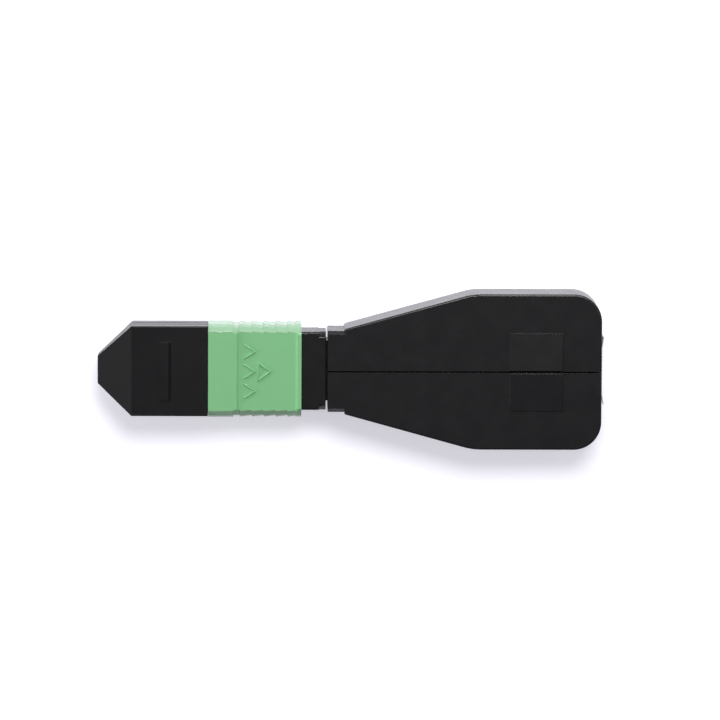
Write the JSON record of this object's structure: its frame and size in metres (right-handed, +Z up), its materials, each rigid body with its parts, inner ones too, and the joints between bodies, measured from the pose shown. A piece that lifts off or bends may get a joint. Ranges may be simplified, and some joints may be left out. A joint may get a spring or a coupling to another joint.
{
  "type": "mpo fibre loopback plug",
  "caption": "Push-pull multi-fibre loopback plug with a dust cap: a sprung ferrule in a sliding sleeve, with its fibres looped back inside a two-part body.",
  "frame": {"origin": "on the ground under the middle of the whole part, with the dust cap fitted", "axes": "+X along the plug's axis from the cap's tip to the rear of the body, +Y across the wide face, +Z up through the thickness"},
  "size_m": [0.0688, 0.0212, 0.0082],
  "materials": {
    "black_body": "fine satin texture",
    "black_cap": "satin",
    "black_push": "satin",
    "green_sleeve": "satin",
    "green_housing": "satin",
    "ferrule_plastic": "glass-filled, polished end",
    "boot_rubber": "matt",
    "clamp_plastic": "natural",
    "spring_steel": "drawn wire",
    "fibre_coating": "coated fibre",
    "label_film": "thin film, bare"
  },
  "bodies": {
    "plug": {"plug_housing": "green_housing", "main_spring": "spring_steel", "spring_push": "black_push", "shell_left": "black_body", "shell_right": "black_body", "seal_label": "label_film", "coupling_spring_left": "spring_steel", "coupling_spring_right": "spring_steel", "fibre_loop_1": "fibre_coating", "fibre_loop_2": "fibre_coating", "fibre_loop_3": "fibre_coating", "fibre_loop_4": "fibre_coating", "fibre_loop_5": "fibre_coating", "fibre_loop_6": "fibre_coating"},
    "cap": {"dust_cap": "black_cap"},
    "sleeve": {"coupling_sleeve": "green_sleeve"},
    "ferrule": {"mt_ferrule": "ferrule_plastic", "ferrule_boot": "boot_rubber", "pin_clamp": "clamp_plastic"}
  },
  "joints": [
    {"name": "cap_slide", "type": "slide", "parent": "plug", "child": "cap", "axis": [-1, 0, 0], "range_m": [0, 0.016]},
    {"name": "sleeve_slide", "type": "slide", "parent": "plug", "child": "sleeve", "axis": [1, 0, 0], "range_m": [0, 0.0011], "stiffness_N_per_m": 20, "deforming": ["coupling_spring_left", "coupling_spring_right"]},
    {"name": "ferrule_slide", "type": "slide", "parent": "plug", "child": "ferrule", "axis": [1, 0, 0], "range_m": [0, 0.0006], "stiffness_N_per_m": 20, "deforming": ["main_spring", "fibre_loop_1", "fibre_loop_2", "fibre_loop_3", "fibre_loop_4", "fibre_loop_5", "fibre_loop_6"]}
  ]
}
